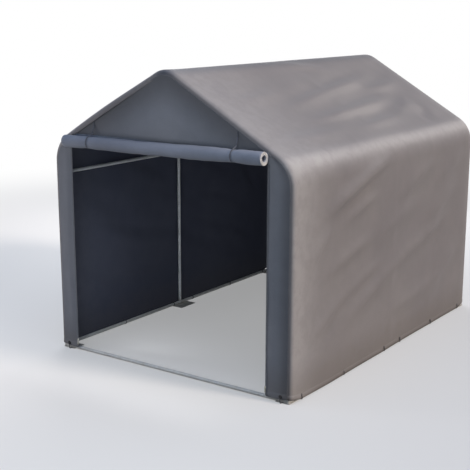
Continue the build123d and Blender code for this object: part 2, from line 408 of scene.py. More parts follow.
def webbing(name, light, dark, rib):
    """Woven tape or cord: ribs across its run, faded and fuzzy."""
    s = Shading(bpy.data.materials.new(name))
    fade = s.noise(s.place(), 30.0, 5.0, 0.6)
    colour = s.mix(s.ramp(fade, 0.35, 0.68), dark, light)
    ribs = s.math("SINE", s.math("MULTIPLY", s.flat()["Y"], 2 * math.pi / rib))
    rough = s.ramp(fade, 0.3, 0.7, 0.55, 0.75)
    return s.surface(Base_Color=colour, Roughness=rough, Sheen_Weight=0.3, Normal=s.bump(ribs, 0.5, 0.0005))


def moulded(name, light, dark):
    """Moulded plastic with a faint grain."""
    s = Shading(bpy.data.materials.new(name))
    place = s.place()
    fade = s.noise(place, 60.0, 4.0)
    colour = s.mix(s.ramp(fade, 0.35, 0.65), dark, light)
    texture = s.bump(s.noise(place, 900.0, 2.0), 0.15, 0.0003)
    return s.surface(Base_Color=colour, Roughness=s.ramp(fade, 0.3, 0.7, 0.38, 0.52), Normal=texture)


# The inside faces are darker and bluer than the outside: painted shade standing for the dim inside of the
# shelter.
INSIDE_PAINTED_SHADE_PALE, INSIDE_PAINTED_SHADE_DARK = srgb(83, 86, 99), srgb(76, 79, 93)
COVER_OUT = cloth("cover_cloth_outside", srgb(129, 125, 125), srgb(122, 118, 119), 0.40, shaded_ridge=True)
COVER_IN = cloth("cover_cloth_inside", INSIDE_PAINTED_SHADE_PALE, INSIDE_PAINTED_SHADE_DARK, 0.62, soil=0.2)
END_OUT = cloth("end_cloth_outside", srgb(126, 127, 132), srgb(118, 120, 126), 0.50)
END_IN = cloth("end_cloth_inside", INSIDE_PAINTED_SHADE_PALE, INSIDE_PAINTED_SHADE_DARK, 0.62, soil=0.2)
# The door cloth is made lighter and bluer than the end cloth: painted cool sky light on the roll.
DOOR_CLOTH_PAINTED_SKYLIGHT = cloth("door_cloth_roll", srgb(139, 144, 156), srgb(124, 128, 139), 0.42)
DOOR_EDGE = cloth("door_cloth_edge", srgb(214, 213, 210), srgb(196, 195, 192), 0.60)
TUBE_COAT = painted_steel("white_tube_coat", srgb(226, 228, 228), srgb(208, 209, 207))
FOOT_COAT = painted_steel("foot_steel_coat", srgb(214, 215, 213), srgb(190, 190, 186))
NICKEL = bare_metal("fitting_nickel", srgb(205, 203, 196), srgb(150, 146, 138), 0.34)
EYELET_BLACK = bare_metal("eyelet_black", srgb(52, 49, 47), srgb(32, 31, 30), 0.45)
TIE_WEB = webbing("tie_webbing", srgb(92, 95, 108), srgb(52, 55, 66), 0.0018)
LOOP_CORD = webbing("loop_cord", srgb(46, 46, 52), srgb(30, 30, 35), 0.0022)
# The zip tape's grey is also darkened: painted shade along the doorway's edges.
ZIP_TAPE_WITH_PAINTED_SHADE = webbing("zip_tape", srgb(96, 98, 104), srgb(84, 86, 92), 0.0015)
ZIP_TEETH = moulded("zip_teeth", srgb(78, 80, 85), srgb(62, 64, 69))
THREAD = webbing("sewing_thread", srgb(150, 148, 150), srgb(122, 121, 124), 0.0009)


# Mesh helpers.

WELD = 1e-7
IN_PLACE = Matrix()
TAPE_SIDES = 16
TAPE_EDGE_POWER, TAPE_FACE_POWER = 0.35, 0.8


def new_object(name, data):
    """An object in the scene."""
    thing = bpy.data.objects.new(name, data)
    bpy.context.scene.collection.objects.link(thing)
    return thing


def quads(index):
    """Four-cornered faces over a grid of point numbers."""
    corners = (index[..., :-1, :-1], index[..., :-1, 1:], index[..., 1:, 1:], index[..., 1:, :-1])
    return stacked(*corners).reshape(-1, 4).tolist()


def add_piece(name, mesh, materials):
    """A piece that rides with the one body."""
    piece = new_object(name, mesh)
    for material in materials:
        mesh.materials.append(material)
    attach(piece, "root")
    return piece


def grid_mesh(name, points, uv=None, wear_and_painted_light=None, wrap=False):
    """Mesh over a grid of points, with flat coordinates and a value for wear and painted light."""
    rows, columns = points.shape[:2]
    mesh = bpy.data.meshes.new(name)
    index = np.arange(rows * columns).reshape(rows, columns)
    if wrap:
        index = np.hstack([index, index[:, :1]])
    mesh.from_pydata(points.reshape(-1, 3).tolist(), [], quads(index))
    if uv is None:
        across = np.linalg.norm(np.diff(points, axis=1, prepend=points[:, :1]), axis=2).cumsum(axis=1)
        along = np.linalg.norm(np.diff(points, axis=0, prepend=points[:1]), axis=2).cumsum(axis=0)
        uv = stacked(across, along)
    corners = np.empty(len(mesh.loops), dtype=np.int32)
    mesh.loops.foreach_get("vertex_index", corners)
    layer = mesh.uv_layers.new(name="cloth")
    layer.data.foreach_set("uv", uv.reshape(-1, 2)[corners].ravel().astype(np.float32))
    # Above zero the cloth is paler, from rubbing and painted highlights; below zero it is darker, from
    # painted shade and, on the rear wall, an edge darkening.
    amount = np.zeros(rows * columns) if wear_and_painted_light is None else np.asarray(wear_and_painted_light, float).ravel()
    worn = mesh.attributes.new("wear_and_painted_light", "FLOAT", "POINT")
    worn.data.foreach_set("value", amount.astype(np.float32))
    mesh.shade_smooth()
    return mesh


def cloth_piece(name, points, outside, inside, uv=None, wear_and_painted_light=None, thickness=CLOTH):
    """A sheet of cloth with its thickness behind the given outer face."""
    piece = add_piece(name, grid_mesh(name, points, uv, wear_and_painted_light), [outside, inside])
    solid = piece.modifiers.new("thickness", "SOLIDIFY")
    solid.thickness = thickness
    solid.offset = -1.0
    solid.material_offset = 1
    solid.material_offset_rim = 0
    return piece


def tidy_mesh(mesh):
    """Join doubled points and turn every face outwards."""
    work = bmesh.new()
    work.from_mesh(mesh)
    bmesh.ops.remove_doubles(work, verts=work.verts, dist=WELD)
    bmesh.ops.recalc_face_normals(work, faces=work.faces)
    work.to_mesh(mesh)
    work.free()
    mesh.shade_smooth()
    return mesh


def capped_mesh(name, path, rings):
    """Skin over rings along a path, closed at both ends."""
    first, last = (np.repeat(end[:, None], rings.shape[1], 1) for end in (path[:1], path[-1:]))
    return tidy_mesh(grid_mesh(name, np.concatenate([first, rings, last]), wrap=True))


def cord_mesh(name, path, radius, sides):
    """Round cord along a path that starts level."""
    turn = full_turn(sides)[:, None]
    rings, side = [], UP
    for point, way in zip(path, unit(np.gradient(path, axis=0))):
        side = unit(side - way * (side @ way))
        rings.append(point + radius * (np.cos(turn) * side + np.sin(turn) * np.cross(way, side)))
    return capped_mesh(name, path, np.array(rings))


def tape_mesh(name, path, width, thickness):
    """Flat tape along a path, with its width across the shelter."""
    turn = full_turn(TAPE_SIDES)[:, None]
    wide = np.array([1.0, 0.0, 0.0])
    flat_u = np.sign(np.cos(turn)) * np.abs(np.cos(turn)) ** TAPE_EDGE_POWER * width / 2
    flat_v = np.sign(np.sin(turn)) * np.abs(np.sin(turn)) ** TAPE_FACE_POWER * thickness / 2
    rings = []
    for point, way in zip(path, unit(np.gradient(path, axis=0))):
        rings.append(point + flat_u * wide + flat_v * unit(np.cross(wide, way)))
    return capped_mesh(name, path, np.array(rings))


def turned_mesh(name, profile, sides):
    """A profile of radius and height, turned about the Z axis."""
    turn = full_turn(sides)
    rings = [stacked(r * np.cos(turn), r * np.sin(turn), h) for r, h in profile]
    return tidy_mesh(grid_mesh(name, np.array(rings), wrap=True))


def finished_mesh(name, work):
    """Mesh of what was worked on."""
    mesh = bpy.data.meshes.new(name)
    work.to_mesh(mesh)
    work.free()
    mesh.shade_smooth()
    return mesh


def rounded_box(size, bevel, segments):
    """A block with rounded edges."""
    work = bmesh.new()
    bmesh.ops.create_cube(work, size=1.0)
    bmesh.ops.scale(work, vec=size, verts=work.verts)
    bmesh.ops.bevel(work, geom=work.edges, offset=bevel, segments=segments, profile=0.6, affect="EDGES")
    return finished_mesh("block", work)


def facing(centre, out):
    """Move to a centre, with the Z axis turned to a way out."""
    return Matrix.Translation(centre) @ Vector(out).to_track_quat("Z", "Y").to_matrix().to_4x4()


def joined(name, parts):
    """One mesh of several, each given with its move."""
    work = bmesh.new()
    for mesh, move in parts:
        before = len(work.verts)
        work.from_mesh(mesh)
        work.verts.ensure_lookup_table()
        bmesh.ops.transform(work, matrix=move, verts=work.verts[before:])
    return finished_mesh(name, work)


# The cover: one sheet from hem to hem, wrapped round the end ribs.

# Folds, read off the photo: y and length at the start, the same at the end, bow, half width and height. The
# length is up from the hem on a wall and down from the ridge on the roof. The gains make all folds bolder.
WALL_FOLDS = (
    (-0.1, 1.29, -0.9, 1.04, 0.02, 0.05, 0.0145),
    (-0.26, 1.09, -0.66, 0.96, 0.01, 0.04, 0.0065),
    (1.02, 1.02, 0.5, 0.72, 0.015, 0.078, 0.0075),
    (0.92, 0.79, -0.1, 0.57, -0.02, 0.05, 0.0075),
    (-0.28, 0.83, -0.88, 0.68, 0.01, 0.045, 0.0065),
    (-0.18, 0.64, -0.7, 0.48, 0.01, 0.042, 0.0055),
    (0.16, 0.6, -0.62, 0.32, 0.02, 0.055, 0.0075),
    (0.74, 0.34, -0.06, 0.26, -0.015, 0.05, 0.005),
    (1.1, 1.21, 0.66, 1.01, 0.01, 0.075, 0.005),
    (0.58, 1.2, 0.06, 0.99, 0.02, 0.055, 0.0065),
    (0.34, 0.96, -0.24, 0.78, 0.01, 0.058, 0.0055),
    (-0.66, 0.52, -1.04, 0.31, 0.01, 0.05, 0.006),
    (1.08, 0.54, 0.58, 0.24, 0.015, 0.075, 0.005),
    (-0.84, 0.98, -1.06, 0.76, 0.01, 0.045, 0.0055),
)
ROOF_FOLDS = (
    (-0.66, 0.53, 0.82, 0.305, -0.015, 0.05, 0.0085),
    (-0.56, 0.675, 0.68, 0.56, 0.01, 0.048, 0.0085),
    (-0.1, 0.085, 0.42, 0.195, -0.01, 0.05, 0.0045),
    (-0.16, 0.81, 0.54, 0.755, 0.01, 0.045, 0.006),
    (-1, 0.8, -0.3, 0.785, 0.01, 0.06, 0.006),
    (0.92, 0.585, 0.46, 0.765, 0.015, 0.055, 0.004),
    (0.98, 0.73, 0.74, 0.84, 0, 0.065, -0.005),
    (-0.98, 0.4, -0.48, 0.33, 0.015, 0.055, 0.005),
    (0.5, 0.44, 1.06, 0.4, 0.01, 0.055, 0.006),
)
LEFT_SHARE = 0.85
WALL_GAIN = 2.1
ROOF_GAIN = 1.75
EAVE_BLEND = 0.20
ROOF_SAG = 0.0080
WALL_SAG = 0.0060

# Long faint ripples: height, size, squeeze along and wander, and for each surface the lean and seed.
RUCK = 0.0030
RUCK_SIZE = 0.13
RUCK_SQUEEZE = 0.22
RUCK_WANDER = 0.03
WANDER_SIZE = 0.5
WALL_RUCK, ROOF_RUCK, REAR_RUCK = (0.40, 41), (-0.14, 43), (0.36, 45)
COVER_RIPPLES = ((0.0008, 0.20, 1, 1), (0.0003, 0.07, 2, 1))

# Swells beside the ridge and over the front of the left roof.
RIDGE_CROWN = 0.005
RIDGE_CROWN_AT = 0.11
RIDGE_CROWN_WIDTH = 0.06
LEFT_CROWN = 0.010
CROWN_END = 0.4
CROWN_RUN = 1.2

# The cover rests on the tubes and sinks only a little beside them; its relief fades out at the lips.
TUBE_GAP = 0.0002
TUBE_GRIP = 0.012
FREE_FALL = 0.07
GRIP_SOFTNESS = 0.004
EDGE_FADE = 0.14
LIP_FADE = 0.085

# Paler places: rubbing with a painted highlight along the front, rubbing at the rear and a painted highlight
# along the eaves; painted shade on the hem's edge.
FRONT_RUB_AND_HIGHLIGHT, ROOF_RUB_AND_HIGHLIGHT_LOSS = 0.8, 0.2
FRONT_RUB_AND_HIGHLIGHT_REACH, ROOF_RUB_AND_HIGHLIGHT_MORE = 0.24, 0.26
REAR_RUB, REAR_RUB_REACH = 0.3, 0.06
EAVE_HIGHLIGHT, EAVE_HIGHLIGHT_FALL, EAVE_HIGHLIGHT_WIDTH = 0.60, 0.06, 0.060
HEM_PAINTED_SHADE, HEM_PAINTED_SHADE_REACH = 0.9, 0.009


def fold_height(y, along, start_y, start_along, end_y, end_along, bow, half_width, height):
    """One soft fold: a ridge on a bowed line, with a shallow trough below, that fades at both ends."""
    run_y, run_along = end_y - start_y, end_along - start_along
    length = math.hypot(run_y, run_along)
    y, along = y - start_y, along - start_along
    share = (y * run_y + along * run_along) / length**2
    bowed = np.clip(share, -0.2, 1.2)
    off = np.sign(run_y) * (along * run_y - y * run_along) / length - bow * 4 * bowed * (1 - bowed)
    wide = half_width * (0.85 + 0.3 * np.clip(share, 0, 1))
    profile = bell(off, wide) - 0.45 * bell(off + 1.5 * wide, 1.1 * wide)
    taper = smooth((share + 0.12) / 0.5) * smooth((1.12 - share) / 0.5)
    return height * taper * profile


def ruck(y, along, lean, seed):
    """Long faint ripples along a way that falls by lean for each metre."""
    wander = RUCK_WANDER * grain(stacked(y, along, 0), WANDER_SIZE, seed + 1)
    return grain(stacked(y * RUCK_SQUEEZE, along - lean * y + wander, 0), RUCK_SIZE, seed)


def cover_relief(a, y, points):
    """How far the cover stands off its smooth shape."""
    down = np.abs(a)
    up = HALF_GIRTH - down
    on_wall = smooth((WALL_RUN + EAVE_BLEND / 2 - up) / EAVE_BLEND)
    out = np.zeros(a.shape)
    for side, share in ((1, 1.0), (-1, LEFT_SHARE)):
        part = WALL_GAIN * sum(fold_height(side * y, up, *fold) for fold in WALL_FOLDS)
        part += ROOF_GAIN * sum(fold_height(side * y, down, *fold) for fold in ROOF_FOLDS)
        part += RUCK * on_wall * ruck(side * y, up, *WALL_RUCK)
        part += RUCK * (1 - on_wall) * ruck(side * y, down, *ROOF_RUCK)
        out += np.where(np.sign(a) == side, share * part, 0.0)
    bay = np.sin(math.pi * y / FRONT_RIB_Y) ** 2
    out -= bay * (ROOF_SAG * hump(down / EAVE_END) + WALL_SAG * hump(up / WALL_RUN))
    out += RIDGE_CROWN * bell(down - RIDGE_CROWN_AT, RIDGE_CROWN_WIDTH) + ripples(points, COVER_RIPPLES)
    # Held by the mid rib, eave purlin, ridge and hem, and at the end ribs by the edge's fade.
    held = np.minimum.reduce([np.abs(y), np.abs(up - (PURLIN_Z - HEM_Z)), down, up])
    least = -(TUBE_GAP + FREE_FALL * np.maximum(held - TUBE_GRIP, 0))
    out = (out + least + np.hypot(out - least, GRIP_SOFTNESS)) / 2
    edge = np.minimum(y - FRONT_Y, REAR_Y - y) - LIP_INSET
    out *= smooth(edge / EDGE_FADE)
    out += np.where(y < 0, LIP_PROUD, REAR_PROUD) * bell(np.maximum(edge, 0), LIP_FADE) * (edge > TINY)
    crown = np.where(a < 0, LEFT_CROWN * hump(down / EAVE_END), 0)
    return out + crown * smooth((CROWN_END - y) / CROWN_RUN)


def cover_places():
    """Lengths across the section, closer where it bends."""
    half = np.concatenate(
        [
            np.linspace(0, RIDGE_ARC, 6),
            np.linspace(RIDGE_ARC, SLOPE_END, 44)[1:],
            np.linspace(SLOPE_END, EAVE_END, 18)[1:],
            np.linspace(EAVE_END, HALF_GIRTH - HEM_BAND - HEM_LEAD, 58)[1:],
            HALF_GIRTH - np.array([HEM_BAND + HEM_RISE, HEM_BAND, HEM_BAND / 2, HEM_ROUND, 0.0]),
        ]
    )
    return np.concatenate([-half[:0:-1], half])


def cover_wear_and_painted_light(a, y, facing):
    """Above zero: rubbing and painted highlights at the front and eaves; below zero: painted shade on the
    hem; facing is 1 on the cover and 0 on its lips.
    """
    down = np.abs(a)
    high = 1 - smooth((down - SLOPE_END) / EAVE_ARC)
    # Pale band along the front, from rubbing and a painted highlight, weaker but wider up on the roof.
    wear_and_painted_light = (FRONT_RUB_AND_HIGHLIGHT - ROOF_RUB_AND_HIGHLIGHT_LOSS * high) * bell(y - FRONT_Y, FRONT_RUB_AND_HIGHLIGHT_REACH + ROOF_RUB_AND_HIGHLIGHT_MORE * high)
    wear_and_painted_light *= smooth(1.8 * facing - 0.5)
    wear_and_painted_light += REAR_RUB * bell(REAR_Y - y, REAR_RUB_REACH)
    # Painted highlight along the eave's crest, fading towards the rear.
    wear_and_painted_light += (EAVE_HIGHLIGHT - EAVE_HIGHLIGHT_FALL * y) * bell(down - EAVE_CREST, EAVE_HIGHLIGHT_WIDTH)
    # Painted shade along the hem's bottom edge.
    return np.clip(wear_and_painted_light, 0, 1) - HEM_PAINTED_SHADE * bell(HALF_GIRTH - down, HEM_PAINTED_SHADE_REACH)


def make_cover():
    a = cover_places()
    turn = np.radians(np.linspace(90, 0, 11))
    lip_flat = [LIP_INSET + LIP_FLAT, LIP_INSET + LIP_FLAT / 2]
    lip_inset = np.concatenate([lip_flat, LIP_INSET - LIP_RADIUS * np.cos(turn)])
    lip_y = np.concatenate([[FRONT_Y - LIP_PROUD] * 2, FRONT_Y + LIP_INSET - LIP_RADIUS * np.sin(turn)])
    lip_tilt = np.concatenate([[math.pi / 2] * 2, turn])
    straight = np.linspace(FRONT_Y + LIP_INSET, REAR_Y - LIP_INSET, 140)[1:-1]
    level = np.zeros(len(straight))
    inset = np.concatenate([lip_inset, level, lip_inset[::-1] + LIP_PROUD - REAR_PROUD])
    depth = np.concatenate([lip_y, straight, at_rear(lip_y[::-1])])
    tilt = np.concatenate([lip_tilt, level, -lip_tilt[::-1]])[:, None]
    x, z, nx, nz = section(a)
    grid_a, grid_y = np.meshgrid(a, depth)
    points = stacked(x - inset[:, None] * nx, grid_y, z - inset[:, None] * nz)
    up = HALF_GIRTH - np.abs(grid_a)
    relief = cover_relief(grid_a, grid_y, points)
    relief = np.where(up < HEM_BAND + HEM_RISE / 2, np.maximum(relief, 0) + HEM_STEP, relief)
    points[..., 0] += relief * nx * np.cos(tilt)
    points[..., 1] -= relief * np.sin(tilt)
    points[..., 2] += relief * nz * np.cos(tilt)
    corner = np.minimum(grid_y - FRONT_Y, REAR_Y - grid_y)
    lift = CORNER_LIFT * (1 - smooth(corner / CORNER_REACH))
    lift += HEM_WAVE * np.sin(6.1 * grid_y) * np.sin(2.3 * grid_y + 1)
    points[..., 2] += lift * (1 - smooth(up / CORNER_REACH))
    points[..., 0] += front_spread(grid_a, points[..., 2]) * front_share(grid_y)
    uv = stacked(grid_a, lengths(stacked(inset, depth))[:, None])
    wear_and_painted_light = cover_wear_and_painted_light(grid_a, grid_y, np.cos(tilt))
    return cloth_piece("cover_sheet", points, COVER_OUT, COVER_IN, uv, wear_and_painted_light)


cover = make_cover()
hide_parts("left_wall_panel", "right_wall_panel", "left_roof_panel", "right_roof_panel")


# The ends: gable, jambs and rear wall, inside the cover's lips.

PANEL_LIFT = 0.0002
PANEL_Y = FRONT_Y - LIP_PROUD - CLOTH - PANEL_LIFT
ROLL_SHIFT = -0.017
SEAM_SHARE = 0.6
SOFT_EDGE = 0.06

# The gable dips behind the rake tubes, bellies out in the middle and is tugged at by the ties.
GABLE_DIP, DIP_REACH = 0.009, 0.045
GABLE_FOOT = 0.05
FOOT_BACK = 0.001
BELLY, BELLY_Z = 0.024, 1.520
BELLY_WIDTH, BELLY_HEIGHT, BELLY_EDGE = 0.36, 0.13, 0.14
TUG, TUG_WIDTH, TUG_EDGE = 0.0020, 0.05, 0.04
GABLE_RIPPLES = ((0.0030, 0.16, 5, (1, 1, 0.45)), (0.0006, 0.05, 6, 1))
# Painted shade below the rakes, under the cover's lip.
GABLE_PAINTED_SHADE, GABLE_PAINTED_SHADE_REACH = 0.45, 0.20

# The jambs swell beside the ribs, except behind the roll, and are drawn back to the doorway's edge.
JAMB_LOW = 0.020
JAMB_PILLOW, JAMB_REACH = 0.006, 0.035
JAMB_TOP_GAP = 0.003
JAMB_HEM_RISE, JAMB_HEM_LEAD = 0.0015, 0.012
JAMB_LIFT = 0.010
ROLL_GAP, ROLL_FADE = 0.01, 0.12
EDGE_SWELL, EDGE_BACK, JAMB_SOFT_EDGE = 0.05, 0.06, 0.04
JAMB_RIPPLES = ((0.0030, 0.05, 8, (1, 1, 0.22)), (0.0012, 0.09, 12, 1))
# Painted shade towards the jambs' outer edges, deeper on the right jamb.
JAMB_PAINTED_SHADE, JAMB_PAINTED_SHADE_SIDE = 0.24, 0.16

# The rear wall swells and has folds like a wall's, with x and z in place of y and length.
REAR_PILLOW, REAR_REACH = 0.012, 0.070
REAR_FOOT = 0.2
REAR_HEM_SHARES = (0, 0.0022, 0.02, 0.0212)
REAR_FIRST_SHARE = 0.035
REAR_LEAST = -0.004
REAR_SIDE_GAP = 0.0001
REAR_GRAIN_Y = 3.0
REAR_RUCK_SHARE = 0.8
REAR_RIPPLES = ((0.0020, 0.20, 21, 1), (0.0006, 0.07, 22, 1))
# The rear wall is darker towards its edges.
REAR_EDGE_DARKENING, REAR_EDGE_DARKENING_REACH = 0.25, 0.12
REAR_FOLDS = (
    (0.72, 1.14, 0.12, 0.86, 0.015, 0.055, 0.009),
    (-0.12, 0.98, -0.7, 0.78, 0.01, 0.05, 0.006),
    (0.6, 0.76, -0.1, 0.54, 0.015, 0.055, 0.0075),
    (0.1, 0.46, -0.62, 0.24, 0.015, 0.05, 0.0065),
    (0.3, 1.54, -0.24, 1.3, 0.01, 0.05, 0.006),
    (-0.2, 1.28, -0.66, 1.06, 0.01, 0.05, 0.007),
    (0.76, 0.48, 0.34, 0.22, 0.01, 0.045, 0.006),
)


def tie_place(side):
    """Where a tie holds the roll, which sits a little to the left."""
    return side * TIE_X + ROLL_SHIFT


def at_ties(x, width):
    """Soft humps at the two ties."""
    return sum(bell(x - tie_place(side), width) for side in (-1, 1))


def pillow(gap, height, reach):
    """Swell of an end panel at a distance from its sewn edge."""
    return height * (1 - np.exp(-np.maximum(gap - LIP_FLAT * SEAM_SHARE, 0) / reach))


def gable_face(x, z):
    """Outer face of the gable, as its depth at a place."""
    gap = (roof_height(x, PANEL_INSET) - z) * math.cos(SLOPE)
    foot = z - GABLE_BOTTOM
    above_foot = smooth(foot / GABLE_FOOT)
    inner = smooth(foot / SOFT_EDGE)
    swell = -pillow(gap, GABLE_DIP, DIP_REACH) * above_foot
    swell += BELLY * bell(x, BELLY_WIDTH) * bell(z - BELLY_Z, BELLY_HEIGHT) * smooth(gap / BELLY_EDGE) * inner
    swell -= TUG * at_ties(x, TUG_WIDTH) * above_foot * smooth(gap / TUG_EDGE)
    swell += ripples(stacked(x, 0, z), GABLE_RIPPLES) * smooth(gap / SOFT_EDGE) * inner
    return PANEL_Y - swell + (LIP_PROUD + FOOT_BACK) * (1 - above_foot)


def make_gable():
    x = np.linspace(-1, 1, 151) * OPENING_X
    top = roof_height(x, PANEL_INSET)
    gx, share = np.meshgrid(x, np.linspace(0, 1, 64))
    gz = GABLE_BOTTOM + share * (top - GABLE_BOTTOM)
    points = stacked(gx, gable_face(gx, gz), gz)
    # Painted shade fading down from the rakes.
    wear_and_painted_light = -GABLE_PAINTED_SHADE * (1 - smooth((top - gz) * math.cos(SLOPE) / GABLE_PAINTED_SHADE_REACH))
    return cloth_piece("gable_sheet", points, END_OUT, END_IN, wear_and_painted_light=wear_and_painted_light)


def make_jamb(side):
    edge = opening_edge(side)
    top = float(roof_height(edge, PANEL_INSET)) - JAMB_TOP_GAP
    hem = JAMB_LOW + np.array([0.0, HEM_ROUND, HEM_BAND, HEM_BAND + JAMB_HEM_RISE])
    z = np.concatenate([hem, np.linspace(JAMB_LOW + HEM_BAND + JAMB_HEM_LEAD, top, 120)])
    reach = wall_reach(z, PANEL_INSET)[:, None]
    share, gz = np.meshgrid(np.linspace(0, 1, 26), z)
    gx = edge + share * (reach - edge)
    gap, inner = reach - gx, gx - edge
    clear = smooth((ROLL_BOX[0].z - ROLL_GAP - gz) / ROLL_FADE)
    swell = pillow(gap, JAMB_PILLOW, JAMB_REACH) * smooth(inner / EDGE_SWELL) * clear
    swell += ripples(stacked(side * gx, 0, gz), JAMB_RIPPLES, side) * smooth(gap / JAMB_SOFT_EDGE) * clear
    swell -= (LIP_PROUD - FOOT_BACK) * (1 - smooth(inner / EDGE_BACK)) * (gap > LIP_FLAT)
    swell = np.where(gz < JAMB_LOW + HEM_BAND + JAMB_HEM_RISE / 2, swell + HEM_STEP, swell)
    gz = gz + JAMB_LIFT * share * (1 - smooth((gz - JAMB_LOW) / CORNER_REACH))
    points = stacked(side * gx, PANEL_Y - swell, gz)
    # Painted shade towards the outer edge.
    wear_and_painted_light = -(JAMB_PAINTED_SHADE + JAMB_PAINTED_SHADE_SIDE * side) * smooth((share - 0.42) / 0.55)
    if side < 0:
        points[..., 0] -= left_lean(gz) * (EDGE_LEAN_SHARE + (1 - EDGE_LEAN_SHARE) * share)
        points, wear_and_painted_light = points[:, ::-1], wear_and_painted_light[:, ::-1]
    else:
        points[..., 0] += RIGHT_SPREAD * share
    return cloth_piece(f"{SIDES[side]}_jamb_sheet", points, END_OUT, END_IN, wear_and_painted_light=wear_and_painted_light)


def make_rear():
    reach = float(wall_reach(WALL_TOP / 2, PANEL_INSET))
    x = np.linspace(1, -1, 151) * (reach - REAR_SIDE_GAP)
    top = roof_height(x, PANEL_INSET)
    gx, share = np.meshgrid(x, np.concatenate([REAR_HEM_SHARES, np.linspace(REAR_FIRST_SHARE, 1, 110)]))
    gz = JAMB_LOW + share * (top - JAMB_LOW)
    gap = np.minimum((top - gz) * math.cos(SLOPE), reach - np.abs(gx))
    soft = sum(fold_height(gx, gz, *fold) for fold in REAR_FOLDS)
    soft += ripples(stacked(gx, REAR_GRAIN_Y, gz), REAR_RIPPLES)
    soft += REAR_RUCK_SHARE * RUCK * ruck(gx, gz, *REAR_RUCK)
    swell = pillow(gap, REAR_PILLOW, REAR_REACH) * smooth((gz - JAMB_LOW) / REAR_FOOT)
    swell += soft * smooth(gap / SOFT_EDGE)
    swell = np.where(gz < JAMB_LOW + HEM_BAND, swell + HEM_STEP, swell)
    points = stacked(gx, at_rear(PANEL_Y) + np.maximum(swell, REAR_LEAST), gz)
    # Darker towards the edges.
    wear_and_painted_light = -REAR_EDGE_DARKENING * (1 - smooth(gap / REAR_EDGE_DARKENING_REACH))
    return cloth_piece("rear_sheet", points, END_OUT, END_IN, wear_and_painted_light=wear_and_painted_light)


gable = make_gable()
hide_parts("front_gable_panel")
right_jamb, left_jamb = make_jamb(1), make_jamb(-1)
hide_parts("right_front_jamb")
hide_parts("left_front_jamb")
rear = make_rear()
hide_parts("rear_wall_panel")


# The rolled-up door, its lap on the gable, and the two ties.

ROLL_TURNS = 6.5
ROLL_CORE = 0.0200
ROLL_RADIUS = 0.0405
ROLL_CLOTH = 0.0027
ROLL_UP, ROLL_BACK, ROLL_END = 0.0424, 0.0390, 0.002
ROLL_Z = ROLL_BOX[0].z + ROLL_UP
ROLL_Y = ROLL_BOX[0].y + ROLL_BACK
ROLL_HALF = ROLL_BOX[1].x - ROLL_END
LAP_TOP = ROLL_BOX[1].z
LAP_PROUD = 0.0045
LAP_Y = FRONT_Y - LAP_PROUD

# The roll is tied up higher on the right, hangs between the ties, droops past them and bows a little.
ROLL_RAISE = 0.010
ROLL_TILT = 0.010
ROLL_SAG = 0.003
ROLL_DROOP = 0.01
ROLL_BOW = 0.0015
ROLL_UNEVEN = 0.0010

# It is fuller between the ties, pinched under them and slightly oval.
FULL_SHARE, FULL_START = 0.05, 0.02
WAVE_SHARE = 0.015
PINCH_SHARE, PINCH_WIDTH = 0.10, 0.035
OVAL_SHARE = 0.025
ROLL_RIPPLES = ((0.0030, 0.07, 31, 0.8), (0.0011, 0.02, 32, (0.3, 1, 1)))

# The ties' tape, and how far its route stands off the seam, the roll, the lap and the gable's inside.
TIE_WIDTH, TIE_THICK = 0.009, 0.0016
TIE_TUCK, TIE_CLEAR, TIE_LIFT = 0.004, 0.014, 0.0022
TIE_OFF_LAP, TIE_BULGE = 0.004, 0.012
TIE_INSIDE, TIE_END = 0.006, 0.07


def roll_swell(x):
    """Share by which the roll is fuller or thinner at x."""
    full = FULL_SHARE * np.sin(math.pi * np.clip((np.abs(x) - FULL_START) / TIE_X, 0, 1))
    return 1 + full + WAVE_SHARE * np.sin(9 * x + 0.6) - PINCH_SHARE * at_ties(x, PINCH_WIDTH)


def roll_axis(x):
    """Depth and height of the roll's middle at x."""
    hang = np.clip(np.abs(x) / TIE_X, 0, 1)
    z = ROLL_Z + ROLL_RAISE + ROLL_TILT * x - ROLL_SAG * (1 - hang**2)
    return ROLL_Y + ROLL_BOW * np.sin(5 * x), z - ROLL_DROOP * np.clip(np.abs(x) - TIE_X, 0, 1)


def make_roll():
    x_share = np.linspace(-1, 1, 120)
    turn = np.linspace(0, ROLL_TURNS * 2 * math.pi, 170)
    wound = turn / turn[-1]
    rows = []
    for t, share in zip(turn, wound):
        x = ROLL_SHIFT + x_share * (ROLL_HALF + ROLL_UNEVEN * math.sin(1.7 * t))
        cy, cz = roll_axis(x)
        radius = (ROLL_CORE + (ROLL_RADIUS - ROLL_CORE) * share) * roll_swell(x)
        radius *= 1 + OVAL_SHARE * math.cos(2 * t + 0.5)
        way = t - turn[-1]
        rows.append(stacked(x, cy + radius * math.cos(way), cz + radius * math.sin(way)))
    x, y, z = rows[-1].T
    lap = np.linspace(0, 1, 14)[1:]
    for share in lap:
        rows.append(stacked(x, y + (LAP_Y - y) * smooth(1.6 * share), z + (LAP_TOP - z) * share))
    points = np.array(rows)
    lift = ripples(points, ROLL_RIPPLES)
    cy, cz = roll_axis(points[..., 0])
    away = unit(stacked(points[..., 1] - cy, points[..., 2] - cz))
    fade = np.concatenate([smooth(wound), 1 - lap])[:, None]
    points[..., 1:] += (lift * fade)[..., None] * away
    roll = cloth_piece("door_roll_sheet", points, DOOR_CLOTH_PAINTED_SKYLIGHT, DOOR_CLOTH_PAINTED_SKYLIGHT, thickness=ROLL_CLOTH)
    roll.data.materials.append(DOOR_EDGE)
    roll.modifiers["thickness"].offset = 0.0
    roll.modifiers["thickness"].material_offset_rim = 2
    return roll


